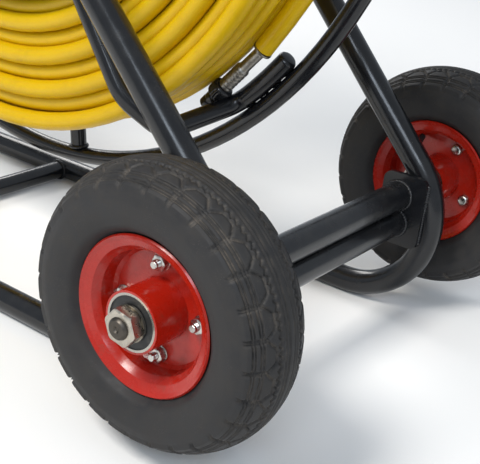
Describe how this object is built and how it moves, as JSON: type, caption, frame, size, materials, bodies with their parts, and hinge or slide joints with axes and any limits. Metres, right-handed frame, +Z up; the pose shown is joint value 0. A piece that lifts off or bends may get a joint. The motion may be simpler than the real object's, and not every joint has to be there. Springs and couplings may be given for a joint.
{
  "type": "garden hose reel cart",
  "caption": "Wheeled tube-frame cart with a large open-basket hose reel, wound with yellow hose, turned by a side crank and rolled on pneumatic wheels.",
  "frame": {"origin": "middle of the cart's plan, on the floor that its base tubes stand on", "axes": "+Z up, +Y from the wheels towards the front and the handle, +X along the wheel axle"},
  "size_m": [0.6246, 1.05, 1.0801],
  "materials": {
    "black_paint": "gloss black enamel on steel tube",
    "red_paint": "gloss red enamel on pressed steel",
    "tyre_rubber": "matt, slightly dusty moulded rubber",
    "bearing_steel": "ground bearing steel",
    "seal_rubber": "smooth black seal",
    "bright_zinc": "bright zinc plating",
    "valve_rubber": "moulded black rubber",
    "axle_steel": "warm nickel-zinc plating, lightly worn",
    "shaft_steel": "plain turned steel",
    "cap_rubber": "moulded black cap",
    "grip_rubber": "foam-textured black rubber",
    "grip_plastic": "moulded black plastic",
    "bush_plastic": "natural nylon",
    "inlet_brass": "turned brass",
    "hose_yellow": "smooth glossy yellow PVC",
    "ferrule_steel": "crimped satin steel",
    "connector_black": "gloss black connector"
  },
  "bodies": {
    "frame": {"side_tube_left": "black_paint", "side_tube_right": "black_paint", "front_uprights": "black_paint", "leg_caps": "cap_rubber", "axle_tube": "black_paint", "lower_cross_tube": "black_paint", "floor_cross_tube": "black_paint", "front_cross_tube": "black_paint", "handle_bar": "black_paint", "handle_grip": "grip_rubber", "axle_plates": "black_paint", "axle_rod": "axle_steel", "axle_collars": "axle_steel", "axle_washers": "axle_steel", "axle_nuts": "axle_steel", "bearing_inner_rings": "bearing_steel", "bearing_balls": "bearing_steel", "bearing_spacers": "bearing_steel", "shaft_plates": "black_paint", "shaft_bushes": "bush_plastic"},
    "wheel_left": {"tyre_left": "tyre_rubber", "rim_outer_left": "red_paint", "rim_inner_left": "red_paint", "wheel_hub_left": "red_paint", "bearing_outer_rings_left": "bearing_steel", "bearing_seals_left": "seal_rubber", "rim_bolts_left": "bright_zinc", "rim_nuts_left": "bright_zinc", "valve_stem_left": "valve_rubber"},
    "wheel_right": {"tyre_right": "tyre_rubber", "rim_outer_right": "red_paint", "rim_inner_right": "red_paint", "wheel_hub_right": "red_paint", "bearing_outer_rings_right": "bearing_steel", "bearing_seals_right": "seal_rubber", "rim_bolts_right": "bright_zinc", "rim_nuts_right": "bright_zinc", "valve_stem_right": "valve_rubber"},
    "reel": {"reel_ring": "black_paint", "reel_shaft": "shaft_steel", "hub_flanges": "black_paint", "reel_spokes": "black_paint", "coil_arm_1": "black_paint", "coil_arm_2": "black_paint", "coil_arm_3": "black_paint", "coil_arm_4": "black_paint", "drum_shell": "black_paint", "shaft_collars": "black_paint", "crank_arm": "black_paint", "crank_bolt": "bright_zinc", "crank_spindle": "bright_zinc", "drum_outlet": "inlet_brass", "hose_winding": "hose_yellow", "hose_tail": "hose_yellow", "hose_ferrule": "ferrule_steel", "hose_nut": "connector_black", "hose_plug": "connector_black"},
    "crank_grip": {"crank_grip": "grip_plastic"},
    "inlet_swivel": {"inlet_swivel": "inlet_brass"}
  },
  "joints": [
    {"name": "wheel_left_spin", "type": "hinge", "parent": "frame", "child": "wheel_left", "pos_m": [-0.2523, -0.395, 0.148], "axis": [1, 0, 0], "continuous": true},
    {"name": "wheel_right_spin", "type": "hinge", "parent": "frame", "child": "wheel_right", "pos_m": [0.2523, -0.395, 0.148], "axis": [1, 0, 0], "continuous": true},
    {"name": "reel_spin", "type": "hinge", "parent": "frame", "child": "reel", "pos_m": [0, 0.047, 0.577], "axis": [1, 0, 0], "continuous": true},
    {"name": "crank_grip_spin", "type": "hinge", "parent": "reel", "child": "crank_grip", "pos_m": [-0.27, 0.11818, 0.75316], "axis": [1, 0, 0], "continuous": true},
    {"name": "inlet_swivel_spin", "type": "hinge", "parent": "reel", "child": "inlet_swivel", "pos_m": [0.2325, 0.047, 0.577], "axis": [1, 0, 0], "continuous": true}
  ]
}
